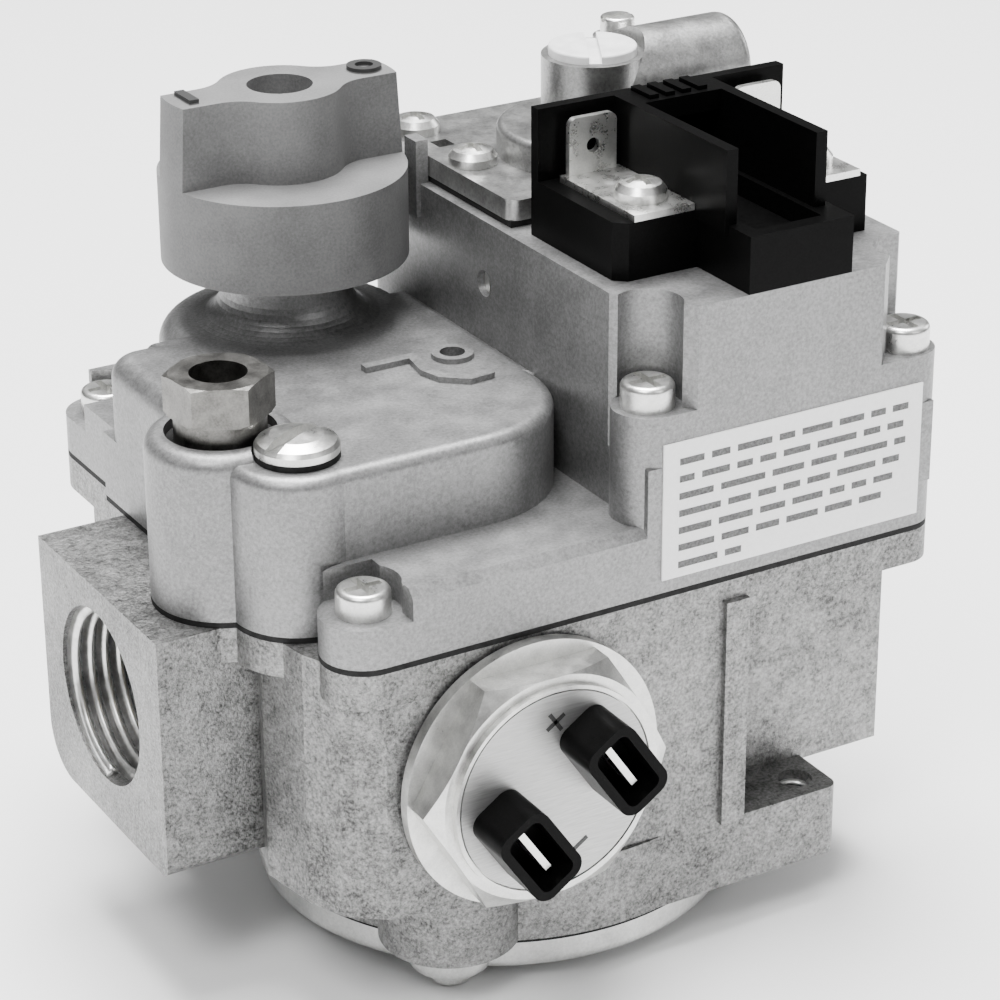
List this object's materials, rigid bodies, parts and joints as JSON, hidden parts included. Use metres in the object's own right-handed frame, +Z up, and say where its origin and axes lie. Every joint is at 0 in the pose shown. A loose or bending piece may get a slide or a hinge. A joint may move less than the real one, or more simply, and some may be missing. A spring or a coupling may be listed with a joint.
{
  "type": "gas valve",
  "caption": "Combination gas control valve with threaded inlet and outlet ports, gas-cock knob, pilot fitting, pressure regulator, hex magnet plug and terminal block.",
  "frame": {"origin": "centre of the inlet port's mouth, on the pipe axis", "axes": "+X along the pipe from inlet to outlet, -Y out of the front with the hex plug and label, +Z up through the knob"},
  "size_m": [0.0923, 0.0877, 0.0985],
  "materials": {
    "cast_aluminium": "bare die-cast, grainy",
    "satin_casting": "satin grey cast",
    "zinc_steel": "zinc plated",
    "spring_steel": "drawn wire",
    "plain_brass": "machined",
    "tinned_brass": "tin plated",
    "copper_winding": "enamelled copper wire",
    "black_rubber": "soft black rubber",
    "black_plastic": "moulded, slightly glossy",
    "grey_plastic": "moulded, matt",
    "white_plastic": "moulded, matt",
    "face_plate": "plain pressed plate",
    "white_label": "printed label stock"
  },
  "bodies": {
    "body": {"lower_body": "cast_aluminium", "body_gasket": "black_rubber", "upper_body": "satin_casting", "body_screws": "zinc_steel", "cock_spring": "spring_steel", "stem_seal": "black_rubber", "pilot_washer": "black_rubber", "pilot_sleeve": "plain_brass", "trim_ring": "black_rubber", "hex_plug": "zinc_steel", "plug_washer": "black_rubber", "plug_face": "face_plate", "shrouds": "black_plastic", "plug_blades": "tinned_brass", "magnet_coil": "copper_winding", "magnet_core": "zinc_steel", "magnet_spring": "spring_steel", "valve_seat": "plain_brass", "diaphragm": "black_rubber", "main_spring": "spring_steel", "bottom_cover": "cast_aluminium", "cover_screws": "zinc_steel", "inlet_screen": "plain_brass", "solenoid_frame": "zinc_steel", "solenoid_bobbin": "black_plastic", "solenoid_coil": "copper_winding", "solenoid_core": "zinc_steel", "solenoid_spring": "spring_steel", "terminal_block": "black_plastic", "spade_tabs": "tinned_brass", "terminal_screws": "zinc_steel", "plate_gasket": "black_rubber", "regulator_cover": "satin_casting", "plate_screws": "zinc_steel", "regulator_diaphragm": "black_rubber", "regulator_spring": "spring_steel", "vent_insert": "grey_plastic", "side_screw": "zinc_steel", "label": "white_label"},
    "cock": {"knob": "grey_plastic", "cock_stem": "plain_brass", "cock_disc": "plain_brass"},
    "pilot_nut": {"pilot_nut": "plain_brass"},
    "trim_cap": {"trim_cap": "zinc_steel"},
    "trim_screw": {"trim_screw": "plain_brass"},
    "regulator_cap": {"regulator_cap": "white_plastic"},
    "regulator_screw": {"regulator_screw": "plain_brass"},
    "tap_plug": {"tap_plug": "zinc_steel"},
    "main_valve": {"main_disc": "cast_aluminium"},
    "safety_valve": {"magnet_armature": "zinc_steel", "safety_disc": "black_rubber"},
    "plunger": {"solenoid_plunger": "zinc_steel"},
    "pressure_valve": {"regulator_valve": "plain_brass", "spring_seat": "zinc_steel"}
  },
  "joints": [
    {"name": "cock_turn", "type": "hinge", "parent": "body", "child": "cock", "pos_m": [0.0357, 0.0205, 0.041], "axis": [0, 0, 1], "range_deg": [0, 180]},
    {"name": "pilot_nut_turn", "type": "hinge", "parent": "body", "child": "pilot_nut", "pos_m": [0.0123, -0.0093, 0.036], "axis": [0, 0, 1], "range_deg": [0, 360]},
    {"name": "trim_cap_turn", "type": "hinge", "parent": "body", "child": "trim_cap", "pos_m": [0.0171, -0.0184, 0.0341], "axis": [0, 0, 1], "range_deg": [0, 360]},
    {"name": "trim_screw_turn", "type": "hinge", "parent": "body", "child": "trim_screw", "pos_m": [0.0171, -0.0184, 0.029], "axis": [0, 0, 1], "range_deg": [0, 360]},
    {"name": "regulator_cap_turn", "type": "hinge", "parent": "body", "child": "regulator_cap", "pos_m": [0.0708, 0.0076, 0.0635], "axis": [0, 0, 1], "range_deg": [0, 360]},
    {"name": "regulator_screw_turn", "type": "hinge", "parent": "body", "child": "regulator_screw", "pos_m": [0.0708, 0.0076, 0.0585], "axis": [0, 0, 1], "range_deg": [-360, 360]},
    {"name": "tap_plug_turn", "type": "hinge", "parent": "body", "child": "tap_plug", "pos_m": [0.0792, 0.0154, 0.0624], "axis": [0, 0, 1], "range_deg": [0, 360]},
    {"name": "main_valve_lift", "type": "slide", "parent": "body", "child": "main_valve", "axis": [0, 0, -1], "range_m": [0, 0.002], "stiffness_N_per_m": 400, "springref_m": -0.003, "deforming": ["main_spring", "diaphragm"]},
    {"name": "safety_valve_lift", "type": "slide", "parent": "body", "child": "safety_valve", "axis": [0, -1, 0], "range_m": [0, 0.003], "stiffness_N_per_m": 300, "springref_m": -0.004, "deforming": ["magnet_spring"]},
    {"name": "plunger_lift", "type": "slide", "parent": "body", "child": "plunger", "axis": [0, 0, 1], "range_m": [0, 0.0024], "stiffness_N_per_m": 200, "springref_m": -0.003, "deforming": ["solenoid_spring"]},
    {"name": "pressure_valve_lift", "type": "slide", "parent": "body", "child": "pressure_valve", "axis": [0, 0, 1], "range_m": [0, 0.0008], "stiffness_N_per_m": 500, "springref_m": -0.002, "deforming": ["regulator_spring", "regulator_diaphragm"]}
  ]
}
